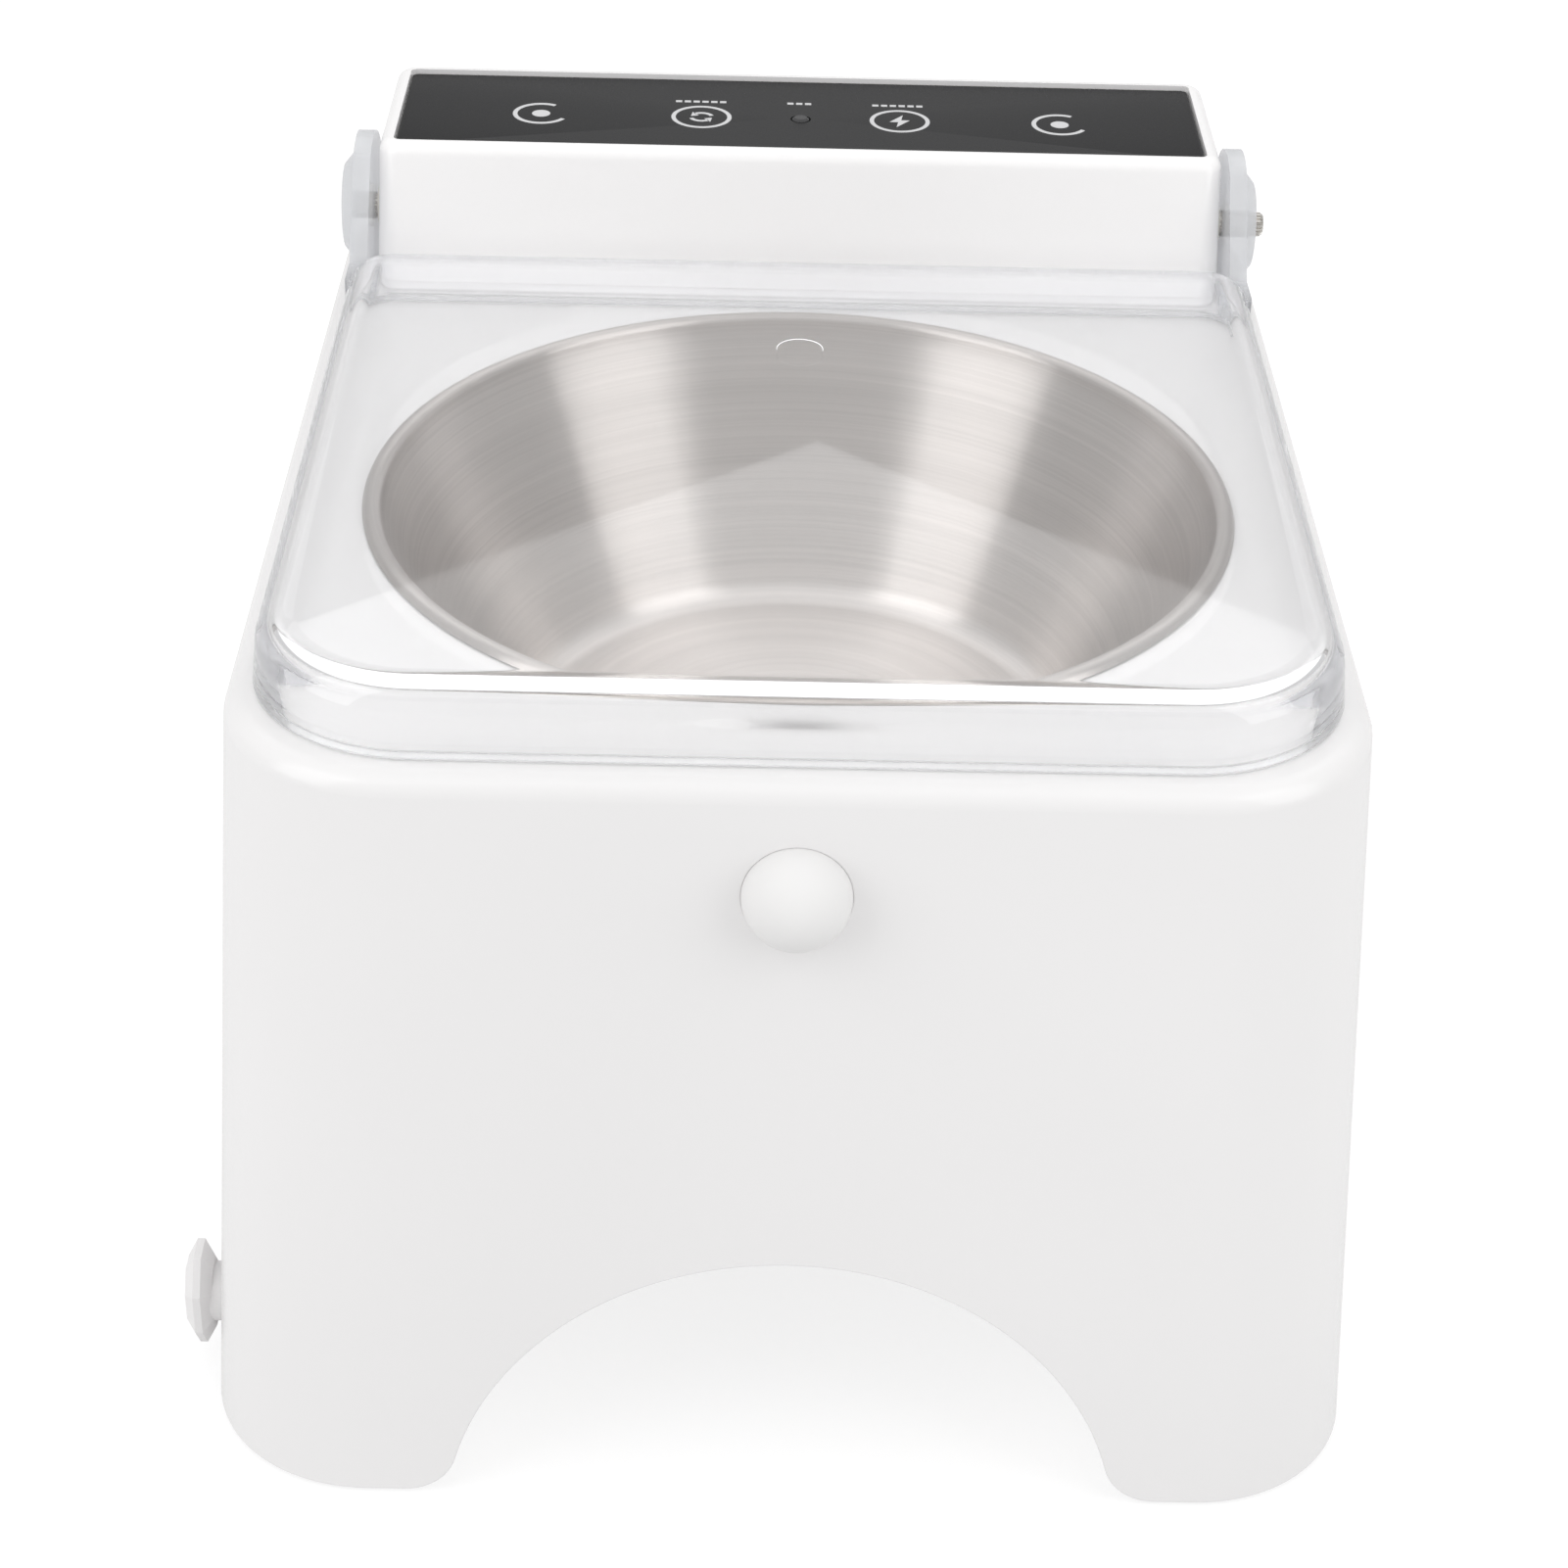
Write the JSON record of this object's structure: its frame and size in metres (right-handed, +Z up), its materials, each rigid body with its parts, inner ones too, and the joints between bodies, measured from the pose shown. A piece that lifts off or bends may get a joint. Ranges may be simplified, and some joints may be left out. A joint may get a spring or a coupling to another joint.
{
  "type": "automatic lidded pet feeding bowl",
  "caption": "Raised feeding bowl on an arched white stand, with a removable steel bowl, a motor-driven clear lid, a black control panel and a motion-sensor dome.",
  "frame": {"origin": "centre of the bounding box at the floor, on the foot pads' undersides", "axes": "+X to the object's right as seen from the front, +Y from the front wall with the motion-sensor dome to the back, +Z up"},
  "size_m": [0.203, 0.2478, 0.1672],
  "materials": {
    "white_shell": "glossy injection-moulded white ABS",
    "clear_lid": "clear polished polystyrene or acrylic",
    "bowl_steel": "spun and brushed stainless steel",
    "panel_black": "black printed overlay, satin gloss",
    "key_black": "small black key cap",
    "dark_plastic": "black moulded plastic",
    "milky_plastic": "milky translucent polyethylene",
    "white_silicone": "soft white silicone",
    "nylon": "natural nylon",
    "brass": "turned brass",
    "steel": "nickel-plated steel",
    "grey_rubber": "grey rubber",
    "circuit_board": "green solder mask",
    "cell_wrap": "blue shrink wrap",
    "black_lead": "black insulated wire",
    "red_lead": "red insulated wire"
  },
  "bodies": {
    "frame": {"body_shell": "white_shell", "base_cover": "white_shell", "head_cover": "white_shell", "panel_overlay": "panel_black", "tact_switch": "dark_plastic", "limit_switch": "dark_plastic", "charge_socket": "dark_plastic", "motion_dome": "milky_plastic", "light_guide_switch": "milky_plastic", "light_guide_charge": "milky_plastic", "gear_case": "nylon", "hinge_bush_left": "nylon", "hinge_bush_right": "nylon", "battery_cradle": "nylon", "pivot_pin": "steel", "motor_can": "steel", "motion_sensor_can": "steel", "head_screw_left": "steel", "head_screw_right": "steel", "base_screw_front_left": "steel", "base_screw_front_right": "steel", "base_screw_rear_left": "steel", "base_screw_rear_right": "steel", "foot_pad_front_left": "grey_rubber", "foot_pad_front_right": "grey_rubber", "foot_pad_rear_left": "grey_rubber", "foot_pad_rear_right": "grey_rubber", "panel_board": "circuit_board", "motion_board": "circuit_board", "charge_board": "circuit_board", "battery_cell": "cell_wrap", "sensor_lead": "black_lead", "charge_lead": "black_lead", "battery_lead": "red_lead"},
    "lid": {"lid": "clear_lid", "output_shaft": "steel", "output_gear": "nylon"},
    "idler": {"idler_gear": "nylon"},
    "pinion": {"motor_pinion": "brass"},
    "key": {"key_button": "key_black"},
    "plug": {"charge_plug": "white_silicone"},
    "bowl": {"bowl": "bowl_steel"}
  },
  "joints": [
    {"name": "lid_hinge", "type": "hinge", "parent": "frame", "child": "lid", "pos_m": [0.00295, 0.0735, 0.1525], "axis": [-1, 0, 0], "range_deg": [0, 90]},
    {"name": "idler_spin", "type": "hinge", "parent": "frame", "child": "idler", "pos_m": [0.00295, 0.0884, 0.1525], "axis": [-1, 0, 0], "range_deg": [-80, 0]},
    {"name": "pinion_spin", "type": "hinge", "parent": "frame", "child": "pinion", "pos_m": [0.00295, 0.0999, 0.1525], "axis": [-1, 0, 0], "range_deg": [0, 182]},
    {"name": "key_press", "type": "slide", "parent": "frame", "child": "key", "axis": [0, 0, -1], "range_m": [0, 0.0005], "stiffness_N_per_m": 1500},
    {"name": "plug_pull", "type": "slide", "parent": "frame", "child": "plug", "axis": [-1, 0, 0], "range_m": [0, 0.014]},
    {"name": "bowl_lift", "type": "slide", "parent": "frame", "child": "bowl", "axis": [0, 0, 1], "range_m": [0, 0.004]}
  ],
  "couplings": [
    {"joint": "idler_spin", "follows": "lid_hinge", "ratio": -0.875},
    {"joint": "pinion_spin", "follows": "lid_hinge", "ratio": 2}
  ]
}
